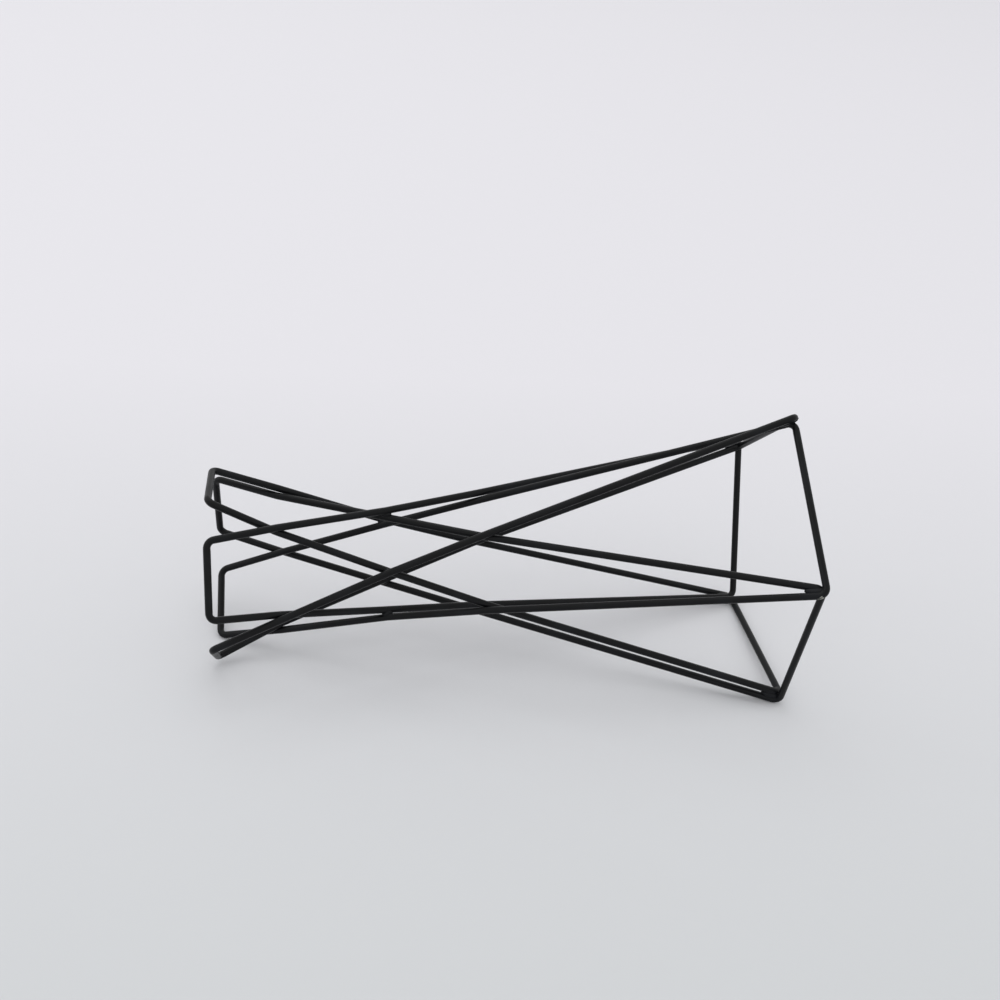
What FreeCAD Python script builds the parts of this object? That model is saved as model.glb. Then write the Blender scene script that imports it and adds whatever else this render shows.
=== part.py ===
import FreeCAD
import Part
import math
import os

from FreeCAD import Placement, Rotation, Vector

# Air plant holder of black wire. Five equal wire loops lean across a common axis and are
# welded where they meet. Each loop has a long side in the pentagon of the wide end and, across
# the axis, a short side in the ring of the narrow end. The model lies on its side, as it is
# used: the narrow end points to -X, the wide end to +X, and one side of the pentagon is below.

os.makedirs("parts", exist_ok=True)
doc = FreeCAD.newDocument("air_plant_holder")

# Driving dimensions: lengths in millimetres along wire centrelines, angles in degrees
sheet = doc.addObject("Spreadsheet::Sheet", "Sizes")
SIZES = {
    "wire_diameter": 2.8,
    "bend_radius": 3.0,
    "cage_length": 225.0,
    "pentagon_corner_radius": 60.3,
    "corner_overrun": 0.7,
    "ring_corner_radius": 37.2,
    "ring_side": 29.5,
    "ring_twist_angle": 6.2,
    "lower_pass_radius": 24.5,
    "lower_pass_twist_angle": 0.0,
    "waist_radius": 20.9,
    "waist_twist_angle": 3.5,
    "upper_pass_radius": 28.5,
    "upper_pass_twist_angle": 6.0,
    "corner_gap": 0.4,
    "lower_pass_gap": 0.15,
    "waist_gap": 0.1,
    "upper_pass_gap": 0.2,
    "waist_weld_radius": 1.5,
    "waist_weld_length": 3.2,
    "corner_weld_radius": 1.5,
    "corner_weld_length": 3.5,
}
for row, (alias, value) in enumerate(SIZES.items(), start=1):
    sheet.set("A%d" % row, alias)
    sheet.set("B%d" % row, str(value))
    sheet.setAlias("B%d" % row, alias)
doc.recompute()

LOOP_COUNT = 5
STEP_ANGLE = 360.0 / LOOP_COUNT
HALF_STEP = STEP_ANGLE / 2
BEND_STEPS = 4

# The three places where the legs of two loops pass, with their heights as shares of the cage
PASSES = [("lower_pass", 0.538), ("waist", 0.705), ("upper_pass", 0.890)]

# Each loop is named for where its long side lies: in order round the axis
LOOP_NAMES = ["front_upper_loop", "front_lower_loop", "bottom_loop", "rear_lower_loop", "rear_upper_loop"]
BOTTOM_LOOP = LOOP_NAMES.index("bottom_loop")


def size(alias):
    """A driving dimension, read back from the sheet."""
    return float(sheet.get(alias))


def at(radius, angle, height):
    """A point of the cage by its distance from the axis, its angle round it and its height."""
    turn = math.radians(angle)
    return Vector(radius * math.cos(turn), radius * math.sin(turn), height)


def loop_turn(k):
    """The turn about the cage axis that takes the drawn loop to the place of loop k."""
    return Placement(Vector(), Rotation(Vector(0, 0, 1), -k * STEP_ANGLE))


def middle_line(side):
    """Corner points of one leg, from the pentagon to the ring, halfway between passing legs.

    side is +1 for the leg that passes outside the others and -1 for the one that passes inside.
    The loop's own long side is at angle zero, so the two legs mirror each other but for that.
    """
    length = size("cage_length")
    points = [at(size("pentagon_corner_radius"), -side * HALF_STEP, 0)]
    for i, (place, height_share) in enumerate(PASSES):
        angle = -side * (i + 2) * HALF_STEP + size(place + "_twist_angle")
        points.append(at(size(place + "_radius"), angle, length * height_share))
    ring_spread = math.degrees(math.asin(size("ring_side") / 2 / size("ring_corner_radius")))
    ring_angle = -side * (180 - ring_spread) + size("ring_twist_angle")
    points.append(at(size("ring_corner_radius"), ring_angle, length))
    return points


def leg(side):
    """The same points with the leg moved out or in, so that passing legs clear each other.

    Where legs lean to or from the axis, they are moved further, because the gap that counts is
    square to them.
    """
    line = middle_line(side)
    points = []
    for i, place in enumerate(["corner"] + [place for place, _ in PASSES]):
        here = line[i]
        outward = Vector(here.x, here.y, 0).normalize()
        neighbours = [line[j] for j in (i - 1, i + 1) if j >= 0]
        lean = max(abs((end - here).dot(outward) / (end.z - here.z)) for end in neighbours)
        apart = (size("wire_diameter") + size(place + "_gap")) * math.hypot(1, lean)
        points.append(here + outward * side * apart / 2)
    points[0] += at(size("corner_overrun"), -side * (HALF_STEP + 90), 0)
    return points + [line[-1]]


def wire_sections(points):
    """Centres and directions of the round sections along a wire through the points.

    The first and last bends are tight, with sections all round their arcs. At the passes
    between them the wire turns so little that one section stands for the bend.
    """
    radius = size("bend_radius")
    sections = [(points[0], (points[1] - points[0]).normalize())]
    for i in range(1, len(points) - 1):
        here = points[i]
        arriving = (here - points[i - 1]).normalize()
        leaving = (points[i + 1] - here).normalize()
        if i not in (1, len(points) - 2):
            sections.append((here, (arriving + leaving).normalize()))
            continue
        turn = arriving.getAngle(leaving)
        centre = here + (leaving - arriving).normalize() * radius / math.cos(turn / 2)
        start = here - arriving * radius * math.tan(turn / 2)
        for step in range(BEND_STEPS + 1):
            bend = Rotation(arriving.cross(leaving), math.degrees(turn) * step / BEND_STEPS)
            sections.append((centre + bend.multVec(start - centre), bend.multVec(arriving)))
    sections.append((points[-1], (points[-1] - points[-2]).normalize()))
    return sections


def swing(before, after):
    """The least turn that takes one direction to another."""
    axis = before.cross(after)
    angle = math.degrees(math.atan2(axis.Length, before.dot(after)))
    return Rotation(axis, angle) if angle else Rotation()


# A loop is drawn as two halves that meet in the middle of its long side and of its short side.
# Each half runs from the middle of the long side, up its leg, to the middle of the short side.
inner_leg = leg(-1)
outer_leg = leg(1)
long_middle = (inner_leg[0] + outer_leg[0]) / 2
short_middle = (inner_leg[-1] + outer_leg[-1]) / 2
inner_sections = wire_sections([long_middle] + inner_leg + [short_middle])
outer_sections = wire_sections([long_middle] + outer_leg + [short_middle])
halves = []
for name, sections in (("InnerHalf", inner_sections), ("OuterHalf", outer_sections)):
    facing = Vector(0, 0, 1)
    turned = Rotation()
    circles = []
    for i, (centre, along) in enumerate(sections, start=1):
        turned = swing(facing, along).multiply(turned)
        facing = along
        circle = doc.addObject("Part::Circle", "%sSection%d" % (name, i))
        circle.setExpression("Radius", "Sizes.wire_diameter / 2")
        circle.Placement = Placement(centre, turned)
        circles.append(circle)
    half = doc.addObject("Part::Loft", name)
    half.Sections = circles
    half.Solid = True
    half.Ruled = True
    halves.append(half)


def lowest_point(sections, up):
    """The lowest point of the wire's round sections, where up is any direction."""
    feet = []
    for centre, along in sections:
        down = (along * along.dot(up) - up).normalize()
        feet.append(centre + down * (size("wire_diameter") / 2))
    return min(feet, key=lambda point: point.dot(up))


def lying_placement():
    """Where the cage frame goes when the holder lies on its side on the floor.

    The holder is turned onto its side and then tipped until it stands on three points of its
    wire: one at each end of the lowest pentagon side and one of the ring.
    """
    over = Rotation(Vector(1, 0, -1), 180)
    bottom_down = Rotation(Vector(0, 0, 1), BOTTOM_LOOP * STEP_ANGLE)
    on_side = Placement(Vector(), over.multiply(bottom_down))
    wires = []
    for k in range(LOOP_COUNT):
        place = on_side.multiply(loop_turn(k))
        for centre, along in inner_sections + outer_sections:
            wires.append((place.multVec(centre), place.Rotation.multVec(along)))
    middle = -size("cage_length") / 2
    ring_end = [s for s in wires if s[0].x < middle]
    near_end = [s for s in wires if s[0].x >= middle and s[0].y < 0]
    far_end = [s for s in wires if s[0].x >= middle and s[0].y >= 0]
    up = Vector(0, 0, 1)
    for _ in range(6):
        foot, near_foot, far_foot = [lowest_point(group, up) for group in (ring_end, near_end, far_end)]
        up = (near_foot - foot).cross(far_foot - foot).normalize()
        if up.z < 0:
            up = -up
    level = swing(up, Vector(0, 0, 1))
    wires = [(level.multVec(centre), level.multVec(along)) for centre, along in wires]
    low_x = lowest_point(wires, Vector(1, 0, 0)).x
    high_x = lowest_point(wires, Vector(-1, 0, 0)).x
    low_y = lowest_point(wires, Vector(0, 1, 0)).y
    high_y = lowest_point(wires, Vector(0, -1, 0)).y
    floor = lowest_point(wires, Vector(0, 0, 1)).z
    middle_below = Vector((low_x + high_x) / 2, (low_y + high_y) / 2, floor)
    return Placement(-middle_below, level.multiply(on_side.Rotation))


lying = lying_placement()

# The five loops: the two halves joined, and the same loop turned to each of its places
loops = []
for k, name in enumerate(LOOP_NAMES):
    loop = doc.addObject("Part::Fuse", name)
    loop.Label = name
    loop.Base = halves[0]
    loop.Tool = halves[1]
    loop.Placement = lying.multiply(loop_turn(k))
    loops.append(loop)
doc.recompute()


def round_bar(name, radius_formula, length, middle, along):
    """A round bar with its middle at a point."""
    bar = doc.addObject("Part::Cylinder", name)
    bar.setExpression("Radius", radius_formula)
    bar.Height = length
    bar.Placement = Placement(middle - along * length / 2, swing(Vector(0, 0, 1), along))
    return bar


def weld_group(label, partner, section, ahead):
    """The same weld on each loop, where its inner leg meets the outer leg of a partner.

    The bead is a short round bar that lies between the two wires and along them, less the
    wires. It is at one of the wires' sections, or ahead of it by some of the run that follows.
    """
    radius_formula = "Sizes.%s_radius" % label[:-1]
    length = size(label[:-1] + "_length")
    middles = []
    directions = []
    wires = []
    crossing = (("inner", inner_sections, Placement()), ("outer", outer_sections, loop_turn(partner)))
    for wire, sections, turn in crossing:
        here, along = [turn.multVec(v) for v in sections[section]]
        middle = here + along * ahead
        middles.append(middle)
        directions.append(along)
        bar_name = "%s_%s_wire" % (label, wire)
        wires.append(round_bar(bar_name, "Sizes.wire_diameter / 2", 4 * length, middle, along))
    along = (directions[0] + directions[1]).normalize()
    middle = (middles[0] + middles[1]) / 2
    bead_bar = round_bar(label + "_bar", radius_formula, length, middle, along)
    seated_inside = doc.addObject("Part::Cut", label + "_on_inner_wire")
    seated_inside.Base = bead_bar
    seated_inside.Tool = wires[0]
    beads = []
    for k in range(LOOP_COUNT):
        bead = doc.addObject("Part::Cut", "%s_%d" % (label, k + 1))
        bead.Base = seated_inside
        bead.Tool = wires[1]
        bead.Placement = lying.multiply(loop_turn(k))
        beads.append(bead)
    group = doc.addObject("Part::Compound", label)
    group.Label = label
    group.Links = beads
    return group


# At the waist the inner leg of each loop is welded to the outer leg of the next loop but one.
# Just above each corner of the pentagon the legs of two neighbouring loops are welded together.
corner_section = BEND_STEPS + 1
waist_section = corner_section + 2
waist_welds = weld_group("waist_welds", 2, waist_section, 0)
corner_welds = weld_group("corner_welds", LOOP_COUNT - 1, corner_section, size("corner_weld_length"))
doc.recompute()

parts = loops + [waist_welds, corner_welds]
for item in doc.Objects:
    if "Invalid" in item.State or "Error" in item.State:
        raise RuntimeError(item.Name + " did not build")
for item in parts:
    if item.Shape.isNull() or not item.Shape.isValid():
        raise RuntimeError(item.Label + " has no valid shape")
for item in parts:
    item.Shape.exportStep("parts/%s.step" % item.Label)
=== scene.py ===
import math

import bpy
import numpy as np
from mathutils import Matrix, Vector


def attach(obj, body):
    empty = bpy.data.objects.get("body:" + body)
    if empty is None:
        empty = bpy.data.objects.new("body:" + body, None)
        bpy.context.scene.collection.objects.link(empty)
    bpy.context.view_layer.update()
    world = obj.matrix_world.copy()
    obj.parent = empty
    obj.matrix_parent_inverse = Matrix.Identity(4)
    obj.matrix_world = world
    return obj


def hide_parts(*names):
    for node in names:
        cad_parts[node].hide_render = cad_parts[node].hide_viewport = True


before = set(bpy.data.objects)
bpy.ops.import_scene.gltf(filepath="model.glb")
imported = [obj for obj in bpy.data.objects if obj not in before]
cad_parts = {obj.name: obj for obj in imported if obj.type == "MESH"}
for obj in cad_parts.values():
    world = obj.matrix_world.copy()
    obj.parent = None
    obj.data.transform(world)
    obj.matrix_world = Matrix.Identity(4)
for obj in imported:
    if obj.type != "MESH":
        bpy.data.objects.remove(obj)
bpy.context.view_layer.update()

# The cage that every piece follows
# The five loops share one figure. It is drawn with the cage axis upright and the pentagon below, and is
# laid on its side afterwards. All lengths are in metres, along the middle of the wire
MM = 0.001
WIRE_DIAMETER = 2.8 * MM
BEND_RADIUS = 3.0 * MM
PASS_BEND_RADIUS = 30.0 * MM
LINE_STEP = 1.2 * MM
CAGE_LENGTH = 225.0 * MM
LOOP_COUNT = 5
STEP_ANGLE = 360.0 / LOOP_COUNT
HALF_STEP = STEP_ANGLE / 2
LOOP_NAMES = ["front_upper_loop", "front_lower_loop", "bottom_loop", "rear_lower_loop", "rear_upper_loop"]
BOTTOM_LOOP = LOOP_NAMES.index("bottom_loop")

# A leg starts at a corner of the pentagon, passes other legs at three places and ends at the ring. Each
# place has its distance from the axis, the turn in degrees that it is away from the regular figure, its
# height as a share of the cage, and the gap between the two wires that pass there
PENTAGON_CORNER = (60.3 * MM, 0.0, 0.0, 0.4 * MM)
LOWER_PASS = (24.5 * MM, 0.0, 0.538, 0.15 * MM)
WAIST = (20.9 * MM, 3.5, 0.705, 0.1 * MM)
UPPER_PASS = (28.5 * MM, 6.0, 0.890, 0.2 * MM)
PLACES = (PENTAGON_CORNER, LOWER_PASS, WAIST, UPPER_PASS)
CORNER_POINT = PLACES.index(PENTAGON_CORNER)
WAIST_POINT = PLACES.index(WAIST)
CORNER_OVERRUN = 0.7 * MM
RING_CORNER_RADIUS = 37.2 * MM
RING_SIDE = 29.5 * MM
RING_TWIST = 6.2


def unit(v):
    """Each vector divided by its own length."""
    return v / np.linalg.norm(v, axis=-1, keepdims=True)


def at(radius, angle, height):
    """A point of the cage by its distance from the axis, its angle round it in degrees and its height."""
    turn = math.radians(angle)
    return np.array([radius * math.cos(turn), radius * math.sin(turn), height])


def turned(axis, angle):
    """The matrix of a turn about an axis, in degrees."""
    return np.array(Matrix.Rotation(math.radians(angle), 3, Vector(axis)))


def leg(side):
    """Corner points of one leg, from the pentagon to the ring.

    side is +1 for the leg that passes outside the others and -1 for the one that passes inside. The leg
    is moved out or in by half of wire plus gap at each pass, times the length of the slope where it
    leans to or from the axis.
    """
    line = [at(PENTAGON_CORNER[0], -side * HALF_STEP, 0.0)]
    for i, (radius, twist, share, _) in enumerate(PLACES[1:]):
        line.append(at(radius, -side * (i + 2) * HALF_STEP + twist, share * CAGE_LENGTH))
    spread = math.degrees(math.asin(RING_SIDE / 2 / RING_CORNER_RADIUS))
    line.append(at(RING_CORNER_RADIUS, -side * (180.0 - spread) + RING_TWIST, CAGE_LENGTH))
    points = []
    for i, (_, _, _, gap) in enumerate(PLACES):
        outward = unit(line[i] * np.array([1.0, 1.0, 0.0]))
        ends = [line[j] - line[i] for j in (i - 1, i + 1) if j >= 0]
        lean = max(abs(np.dot(end, outward) / end[2]) for end in ends)
        points.append(line[i] + outward * side * (WIRE_DIAMETER + gap) * math.hypot(1.0, lean) / 2)
    points[0] = points[0] + at(CORNER_OVERRUN, -side * (HALF_STEP + 90.0), 0.0)
    return np.array(points + [line[-1]])


def straight_run(start, end, step):
    """Points between two points, a step apart or less, without the two themselves."""
    count = math.ceil(np.linalg.norm(end - start) / step)
    share = np.linspace(0.0, 1.0, count + 1)[1:-1, None]
    return start + (end - start) * share


def rounded(points, radii, step):
    """A closed line through corner points with a round bend at each.

    A bend of turn t touches its two straight runs at radius * tan(t / 2) from the corner, and its points
    are middle + (start - middle) * cos(t) + arriving * radius * sin(t).
    """
    arriving = unit(points - np.roll(points, 1, axis=0))
    leaving = unit(np.roll(points, -1, axis=0) - points)
    turns = np.arccos(np.clip((arriving * leaving).sum(axis=1), -1.0, 1.0))
    bends = []
    for here, a, b, turn, radius in zip(points, arriving, leaving, turns, radii):
        middle = here + unit(b - a) * radius / math.cos(turn / 2)
        start = here - a * radius * math.tan(turn / 2)
        t = np.linspace(0.0, turn, max(2, math.ceil(4 * radius * turn / step)) + 1)[:, None]
        bends.append(middle + (start - middle) * np.cos(t) + a * radius * np.sin(t))
    line = []
    for i, bend in enumerate(bends):
        line.append(bend)
        line.append(straight_run(bend[-1], bends[(i + 1) % len(bends)][0], step))
    return np.concatenate(line)


def laid_on_side(line):
    """The turn and the move that lay the five loops on the floor.

    The cage is turned onto its side with the bottom loop below, then tipped until the three lowest
    places of its wire touch one level: the ring, and both ends of the lowest side of the pentagon. The
    lowest point of a round wire is its middle less radius * (up less its part along the wire).
    """
    on_side = turned((1.0, 0.0, -1.0), 180.0) @ turned((0.0, 0.0, 1.0), BOTTOM_LOOP * STEP_ANGLE)
    copies = [on_side @ turned((0.0, 0.0, 1.0), -k * STEP_ANGLE) for k in range(LOOP_COUNT)]
    centres = np.concatenate([line @ c.T for c in copies])
    along = unit(np.roll(line, -1, axis=0) - np.roll(line, 1, axis=0))
    along = np.concatenate([along @ c.T for c in copies])

    def extreme(chosen, way):
        sideways = unit(way - along[chosen] * (along[chosen] @ way)[:, None])
        skin = centres[chosen] + sideways * WIRE_DIAMETER / 2
        return skin[np.argmax(skin @ way)]

    at_ring = centres[:, 0] < -CAGE_LENGTH / 2
    groups = [at_ring, ~at_ring & (centres[:, 1] < 0), ~at_ring & (centres[:, 1] >= 0)]
    up = np.array([0.0, 0.0, 1.0])
    for _ in range(6):
        foot, near_foot, far_foot = [extreme(group, -up) for group in groups]
        up = unit(np.cross(near_foot - foot, far_foot - foot))
        up = up * math.copysign(1.0, up[2])
    level = np.array(Vector(up).rotation_difference(Vector((0.0, 0.0, 1.0))).to_matrix())
    centres = centres @ level.T
    along = along @ level.T
    every = np.ones(len(centres), bool)
    ways = np.eye(3)
    low = np.array([extreme(every, -way) @ way for way in ways])
    high = np.array([extreme(every, way) @ way for way in ways])
    middle_below = np.array([(low[0] + high[0]) / 2, (low[1] + high[1]) / 2, low[2]])
    return level @ on_side, -middle_below


inner_leg = leg(-1)
outer_leg = leg(1)
loop_corners = np.concatenate([inner_leg, outer_leg[::-1]])
leg_radii = [BEND_RADIUS] + [PASS_BEND_RADIUS] * 3 + [BEND_RADIUS]
loop_line = rounded(loop_corners, leg_radii + leg_radii[::-1], LINE_STEP)
lying_turn, lying_move = laid_on_side(loop_line)


def placed(points, k):
    """Points of the drawn loop at the place of loop k, in the row frame."""
    return points @ turned((0.0, 0.0, 1.0), -k * STEP_ANGLE).T @ lying_turn.T + lying_move


# The five wire loops
# Each one is a closed loop of round mild steel wire, bent on a jig with tight bends at its four corners
# and eased by hand where it passes the others. After welding the holder was powder coated satin black,
# so a smooth skin about a tenth of a millimetre thick covers wire and welds alike
WIRE_SIDES = 20
BEND_FLATTENING = 0.04
COAT_BLACK = "#08090b"
COAT_BLACK_SCUFFED = "#14161a"
COAT_ROUGHNESS = 0.36
COAT_ROUGHNESS_SCUFFED = 0.48
COAT_SHINE = 0.17
ORANGE_PEEL_SIZE = 0.9 * MM
ORANGE_PEEL_DEPTH = 0.012 * MM
SCUFF_SIZE = 14.0 * MM
# Painted highlight: a dull light grey spot on the lower skin of one corner bend, painted into the coat for
# the reflection the bend catches
PAINTED_HIGHLIGHT_GREY = "#8d8c86"
PAINTED_HIGHLIGHT_ROUGHNESS = 0.7
PAINTED_HIGHLIGHT_SIZE = 1.7 * MM
PAINTED_HIGHLIGHT_EDGE = 0.9 * MM
PAINTED_HIGHLIGHT_LOOP = LOOP_NAMES.index("front_upper_loop")
PAINTED_HIGHLIGHT_ALONG = 2.0 * MM
PAINTED_HIGHLIGHT_SIDE = np.array([0.0, -0.6, -1.2]) * MM


def linear(code):
    """A hex colour as linear red, green, blue and alpha: ((c + 0.055) / 1.055) ** 2.4 above 0.04045."""
    values = [int(code[i:i + 2], 16) / 255 for i in (1, 3, 5)]
    return [v / 12.92 if v <= 0.04045 else ((v + 0.055) / 1.055) ** 2.4 for v in values] + [1.0]


def add_node(tree, kind, inputs=(), **settings):
    """A shader node with its settings, and its inputs as values or as the sockets that feed them."""
    node = tree.nodes.new("ShaderNode" + kind)
    for name, value in settings.items():
        setattr(node, name, value)
    for name, value in dict(inputs).items():
        if isinstance(value, bpy.types.NodeSocket):
            tree.links.new(value, node.inputs[name])
        else:
            node.inputs[name].default_value = value
    return node


def new_material(name):
    """An empty node material and its tree."""
    material = bpy.data.materials.new(name)
    material.use_nodes = True
    material.node_tree.nodes.clear()
    return material, material.node_tree


def grid_mesh(name, patches, closed_along, material):
    """One object from grids of points, each with rows along the piece and columns round it.

    Neighbouring rows and columns are joined by four-sided faces, columns always round to the first one.
    closed_along joins the last row to the first, and without it the end rows are filled.
    """
    vertices = np.concatenate([patch.reshape(-1, 3) for patch in patches])
    faces = []
    first = 0
    for patch in patches:
        rows, columns = patch.shape[:2]
        index = np.arange(rows * columns).reshape(rows, columns) + first
        after = np.roll(index, -1, axis=0)
        if not closed_along:
            index, after = index[:-1], after[:-1]
        quads = np.stack([index, np.roll(index, -1, axis=1), np.roll(after, -1, axis=1), after], axis=-1)
        faces += quads.reshape(-1, 4).tolist()
        if not closed_along:
            faces.append(index[0][::-1].tolist())
            faces.append(after[-1].tolist())
        first += rows * columns
    mesh = bpy.data.meshes.new(name)
    mesh.from_pydata(vertices.tolist(), [], faces)
    mesh.polygons.foreach_set("use_smooth", np.ones(len(mesh.polygons), bool))
    mesh.materials.append(material)
    mesh.update()
    piece = bpy.data.objects.new(name, mesh)
    bpy.context.scene.collection.objects.link(piece)
    return piece


def mixed(tree, share, first, second):
    """One colour turning into another as share goes from 0 to 1. Either is a hex code or a socket."""
    node = add_node(tree, "Mix", data_type="RGBA")
    tree.links.new(share, node.inputs[0])
    for socket, value in ((node.inputs[6], first), (node.inputs[7], second)):
        if isinstance(value, str):
            socket.default_value = linear(value)
        else:
            tree.links.new(value, socket)
    return node.outputs[2]


def stretched(tree, value, from_range, to_range=(0.0, 1.0)):
    """A value moved from one range to another and held inside it."""
    node = add_node(tree, "MapRange", {"Value": value, "From Min": from_range[0], "From Max": from_range[1],
                                       "To Min": to_range[0], "To Max": to_range[1]})
    return node.outputs["Result"]


def powder_coat(name, black, scuffed, roughness, scuffed_roughness, peel_depth):
    """The coat as a material: scuffs in broad clouds, orange peel, and one painted highlight at a corner.

    The painted highlight is a dull light grey spot for the reflection that a bend catches. It lies where
    the distance to its place, less a little noise, is below its size.
    """
    material, tree = new_material(name)
    place = add_node(tree, "TexCoord").outputs["Object"]
    clouds = add_node(tree, "TexNoise", {"Vector": place, "Scale": 1 / SCUFF_SIZE, "Detail": 3.0})
    handled = stretched(tree, clouds.outputs["Fac"], (0.5, 0.75))
    grain = add_node(tree, "TexNoise", {"Vector": place, "Scale": 1 / PAINTED_HIGHLIGHT_EDGE, "Detail": 2.0})
    ragged = stretched(tree, grain.outputs["Fac"], (0.3, 0.7), (-PAINTED_HIGHLIGHT_EDGE, PAINTED_HIGHLIGHT_EDGE))
    # The painted highlight: light grey mixed into the coat near its place on the bend, with a ragged edge
    away = add_node(tree, "VectorMath", {0: place, 1: highlight_place}, operation="DISTANCE")
    away = add_node(tree, "Math", {0: away.outputs["Value"], 1: ragged}, operation="ADD")
    highlight_share = stretched(tree, away.outputs["Value"], (PAINTED_HIGHLIGHT_SIZE, PAINTED_HIGHLIGHT_SIZE - PAINTED_HIGHLIGHT_EDGE / 2))
    colour = mixed(tree, highlight_share, mixed(tree, handled, black, scuffed), PAINTED_HIGHLIGHT_GREY)
    dullness = stretched(tree, handled, (0.0, 1.0), (roughness, scuffed_roughness))
    dullness = add_node(tree, "Math", {0: highlight_share, 1: PAINTED_HIGHLIGHT_ROUGHNESS, 2: dullness}, operation="MULTIPLY_ADD")
    peel = add_node(tree, "TexNoise", {"Vector": place, "Scale": 1 / ORANGE_PEEL_SIZE, "Detail": 1.0})
    bumped = add_node(tree, "Bump", {"Height": peel.outputs["Fac"], "Distance": peel_depth})
    skin = add_node(tree, "BsdfPrincipled", {"Base Color": colour, "Roughness": dullness.outputs["Value"],
                                             "Specular IOR Level": COAT_SHINE, "IOR": 1.5,
                                             "Normal": bumped.outputs["Normal"]})
    add_node(tree, "OutputMaterial", {"Surface": skin.outputs["BSDF"]})
    return material


# The coat gives the eye a deep black with a soft grey sheen along each wire, a trace of orange peel when
# close, and a slightly greyer and duller skin where the holder has been handled. At one corner of the
# pentagon, on the lower skin of the bend, a dull light grey spot is painted in as a painted highlight for
# the reflection there
highlight_start = outer_leg[0] + unit(outer_leg[1] - outer_leg[0]) * PAINTED_HIGHLIGHT_ALONG
highlight_place = tuple(placed(highlight_start, PAINTED_HIGHLIGHT_LOOP) + PAINTED_HIGHLIGHT_SIDE)
coat = powder_coat("satin_black_powder_coat", COAT_BLACK, COAT_BLACK_SCUFFED, COAT_ROUGHNESS,
                   COAT_ROUGHNESS_SCUFFED, ORANGE_PEEL_DEPTH)


def wire_skin(line):
    """The round skin of a closed wire: line + radius * (cos(a) * inward + sin(a) * across) for a round it.

    across is square to the plane that the loop lies nearly in. In a bend the wire is thinner in that
    plane and wider across it, by a share that grows with how sharply the line turns there.
    """
    along = unit(np.roll(line, -1, axis=0) - np.roll(line, 1, axis=0))
    plane = unit(np.cross(line, np.roll(line, -1, axis=0)).sum(axis=0))
    inward = unit(np.cross(plane, along))
    across = np.cross(along, inward)
    before = line - np.roll(line, 1, axis=0)
    after = np.roll(line, -1, axis=0) - line
    turn = np.linalg.norm(np.cross(unit(before), unit(after)), axis=1)
    sharpness = turn / (np.linalg.norm(before, axis=1) + np.linalg.norm(after, axis=1)) * 2 * BEND_RADIUS
    sharpness = np.clip((sharpness + np.roll(sharpness, 1) + np.roll(sharpness, -1)) / 3, 0.0, 1.0)
    a = np.linspace(0.0, 2 * math.pi, WIRE_SIDES, endpoint=False)
    thin = (1 - BEND_FLATTENING * sharpness)[:, None, None]
    wide = (1 + BEND_FLATTENING / 2 * sharpness)[:, None, None]
    ring = np.cos(a)[:, None] * inward[:, None] * thin + np.sin(a)[:, None] * across[:, None] * wide
    return line[:, None] + ring * WIRE_DIAMETER / 2


for k, name in enumerate(LOOP_NAMES):
    loop = grid_mesh("coated_" + name, [placed(wire_skin(loop_line), k)], True, coat)
    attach(loop, "root")
    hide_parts(name)


# The waist welds
# Five small steel weld beads, one where the inner leg of each loop crosses the outer leg of the next loop
# but one. They are hand welded and slightly lumpy, and the coat runs over them and rounds them off. Sizes
# of a bead are half its length, then its half width away from the axis and across
BEAD_ROWS = 17
BEAD_SIDES = 24
BEAD_LUMP = 0.07
WAIST_BEAD = (2.1 * MM, 1.5 * MM, 1.5 * MM)
WAIST_PARTNER = 2
WELD_BLACK = "#0d0e11"
WELD_BLACK_SCUFFED = "#1b1d21"
WELD_ROUGHNESS = 0.40
WELD_ROUGHNESS_SCUFFED = 0.55
WELD_PEEL_DEPTH = 0.035 * MM

# The same coat lies thinner and rougher on the beads, so that they look a little greyer than the wire
weld_coat = powder_coat("satin_black_coat_over_weld", WELD_BLACK, WELD_BLACK_SCUFFED, WELD_ROUGHNESS,
                        WELD_ROUGHNESS_SCUFFED, WELD_PEEL_DEPTH)


def bead(middle, along, outward, sizes, k):
    """A lumpy egg: sizes * (cos(p), sin(p) * cos(a), sin(p) * sin(a)) along, outward and across.

    p runs from end to end and a round it. The lumps are three slow waves, which differ from bead to bead.
    """
    across = unit(np.cross(along, outward))
    outward = np.cross(across, along)
    p = np.linspace(0.02 * math.pi, 0.98 * math.pi, BEAD_ROWS)[:, None]
    a = np.linspace(0.0, 2 * math.pi, BEAD_SIDES, endpoint=False)[None]
    waves = np.sin(2 * a + 3 * p + 2.1 * k) + np.sin(3 * a - 2 * p + 1.3 * k) + np.sin(a + 5 * p - k)
    swell = 1 + BEAD_LUMP * waves / 3
    parts = np.stack([sizes[0] * np.cos(p) + 0 * a, sizes[1] * np.sin(p) * np.cos(a),
                      sizes[2] * np.sin(p) * np.sin(a)], axis=-1) * swell[..., None]
    return middle - parts[..., :1] * along + parts[..., 1:2] * outward + parts[..., 2:] * across


def crossing(i, partner, ahead):
    """Middle, direction and outward direction of the place where two legs meet, at corner point i."""
    middles = []
    directions = []
    start = (inner_leg[0] + outer_leg[0]) / 2
    for points, k in ((inner_leg, 0), (outer_leg, partner)):
        arriving = unit(points[i] - (points[i - 1] if i else start))
        leaving = unit(points[i + 1] - points[i])
        direction = unit(arriving + leaving) if i else leaving
        middle = points[i]
        if ahead:
            half_turn = math.acos(np.dot(arriving, leaving)) / 2
            middle = middle + leaving * (BEND_RADIUS * math.tan(half_turn) + ahead)
        spin = turned((0.0, 0.0, 1.0), -k * STEP_ANGLE)
        middles.append(spin @ middle)
        directions.append(spin @ direction)
    return (middles[0] + middles[1]) / 2, unit(directions[0] + directions[1]), unit(middles[1] - middles[0])


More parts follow.
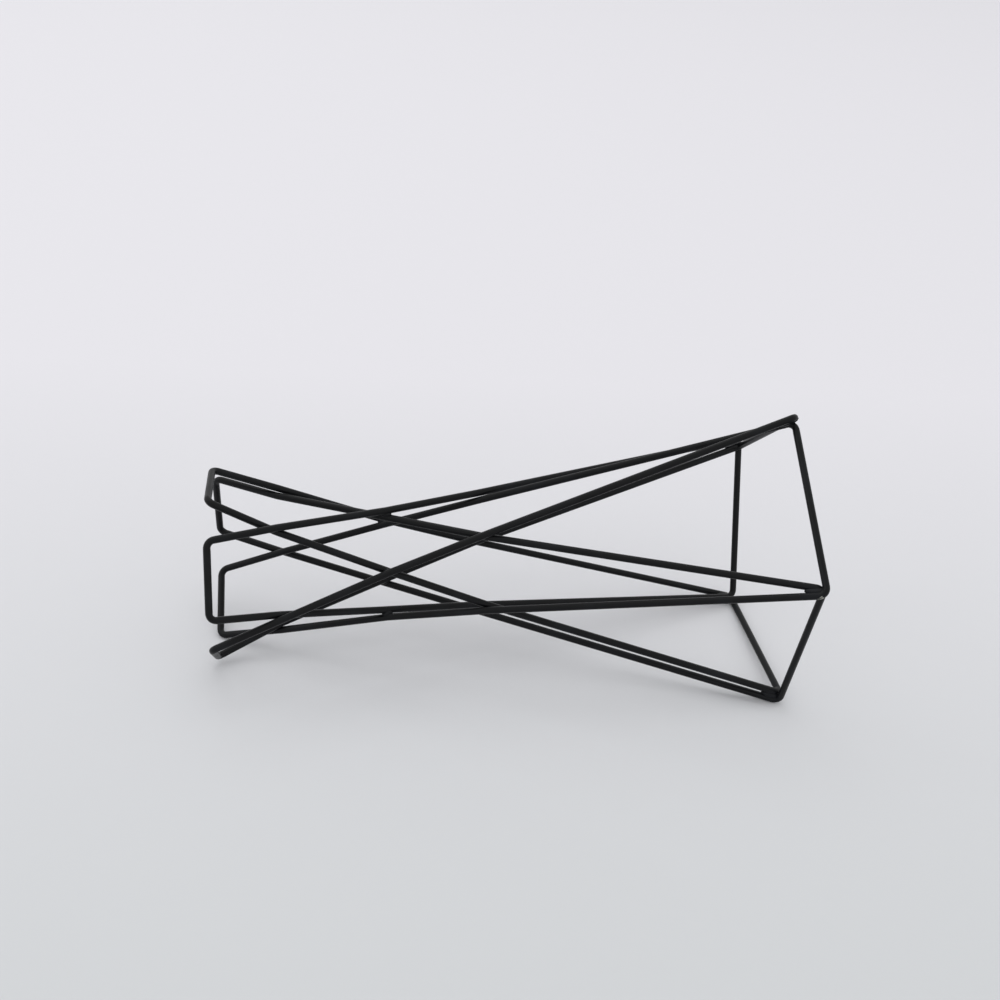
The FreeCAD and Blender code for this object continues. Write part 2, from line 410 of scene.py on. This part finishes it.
def weld_group(name, sizes, meeting):
    """Five equal places of one kind of bead as one piece in its node."""
    patches = [placed(bead(*meeting, sizes, k), k) for k in range(LOOP_COUNT)]
    welds = grid_mesh("coated_" + name, patches, False, weld_coat)
    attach(welds, "root")
    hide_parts(name)


weld_group("waist_welds", WAIST_BEAD, crossing(WAIST_POINT, WAIST_PARTNER, 0.0))


# The corner welds
# Five longer steel weld beads, one in the nest of each corner of the pentagon, where two neighbouring loops
# lie side by side. Each starts just past the bends and runs along both legs, and is coated like the rest
CORNER_BEAD = (4.4 * MM, 1.5 * MM, 1.4 * MM)
CORNER_PARTNER = LOOP_COUNT - 1
CORNER_WELD_AHEAD = 0.2 * MM

weld_group("corner_welds", CORNER_BEAD, crossing(CORNER_POINT, CORNER_PARTNER, CORNER_WELD_AHEAD))


# Floor
# A wide matt sheet without a horizon in the view: pale grey in front, and lighter with a trace of
# lavender behind the holder. The lightening from front to back is painted light, for the studio light
# falling brighter behind the holder
FLOOR_HALF = 6.0
# Painted light: the floor colour is darker in front and lighter behind, standing in for how the studio
# light falls on it
FLOOR_FRONT = "#ced1d3"
FLOOR_BACK = "#e4e3e8"
FLOOR_PAINTED_LIGHT_FADE = (-0.25, 0.25)
FLOOR_ROUGHNESS = 0.85
FLOOR_SHINE = 0.2

floor_paint, tree = new_material("pale_matt_floor")
place = add_node(tree, "TexCoord").outputs["Object"]
depth = add_node(tree, "SeparateXYZ", {"Vector": place}).outputs["Y"]
# The floor tone fades from the front colour to the back colour along the depth, as painted light
painted_light_tone = mixed(tree, stretched(tree, depth, FLOOR_PAINTED_LIGHT_FADE), FLOOR_FRONT, FLOOR_BACK)
skin = add_node(tree, "BsdfPrincipled", {"Base Color": painted_light_tone, "Roughness": FLOOR_ROUGHNESS,
                                         "Specular IOR Level": FLOOR_SHINE})
add_node(tree, "OutputMaterial", {"Surface": skin.outputs["BSDF"]})
corners = np.array([[-1.0, -1.0, 0.0], [1.0, -1.0, 0.0], [1.0, 1.0, 0.0], [-1.0, 1.0, 0.0]]) * FLOOR_HALF
mesh = bpy.data.meshes.new("floor")
mesh.from_pydata(corners.tolist(), [], [[0, 1, 2, 3]])
mesh.materials.append(floor_paint)
floor = bpy.data.objects.new("floor", mesh)
bpy.context.scene.collection.objects.link(floor)


# Studio light
# A large soft lamp overhead and a little behind, a weaker one from the left, and an even pale world that
# gives most of the light. A lamp is named by its place, the side of its square and its power, in metres
# and watts
OVERHEAD_LAMP = ((-0.4, 0.9, 2.4), 1.6, 6.4)
LEFT_LAMP = ((-2.0, 0.4, 1.6), 1.0, 4.0)
ROOM_WHITE = "#f4f4f4"
ROOM_STRENGTH = 1.0


def soft_lamp(name, place, side, power):
    """A square area lamp that faces the holder."""
    lamp = bpy.data.lights.new(name, "AREA")
    lamp.shape = "SQUARE"
    lamp.size = side
    lamp.energy = power
    holder = bpy.data.objects.new(name, lamp)
    holder.location = place
    holder.rotation_euler = Vector((-place[0], -place[1], -place[2])).to_track_quat("-Z", "Y").to_euler()
    bpy.context.scene.collection.objects.link(holder)


soft_lamp("overhead_lamp", *OVERHEAD_LAMP)
soft_lamp("left_lamp", *LEFT_LAMP)
world = bpy.data.worlds.new("pale_room")
world.use_nodes = True
background = world.node_tree.nodes["Background"]
background.inputs["Color"].default_value = linear(ROOM_WHITE)
background.inputs["Strength"].default_value = ROOM_STRENGTH
bpy.context.scene.world = world


# Camera
# It looks down at the holder from the front and a little from the left, as in the photograph
CAMERA_PLACE = Vector((-90.4, -437.1, 337.8)) * MM
CAMERA_AIM = Vector((-2.0, 9.7, 65.3)) * MM
CAMERA_LENS = 47.98
CAMERA_ROLL = 7.43

camera = bpy.data.objects.new("camera", bpy.data.cameras.new("camera"))
camera.data.lens = CAMERA_LENS
camera.data.sensor_width = 36.0
camera.data.clip_start = 0.01
camera.location = CAMERA_PLACE
aim = (CAMERA_AIM - CAMERA_PLACE).to_track_quat("-Z", "Y").to_matrix()
camera.rotation_euler = (aim @ Matrix.Rotation(math.radians(CAMERA_ROLL), 3, "Z")).to_euler()
bpy.context.scene.collection.objects.link(camera)
bpy.context.scene.camera = camera
bpy.context.scene.view_settings.view_transform = "Standard"
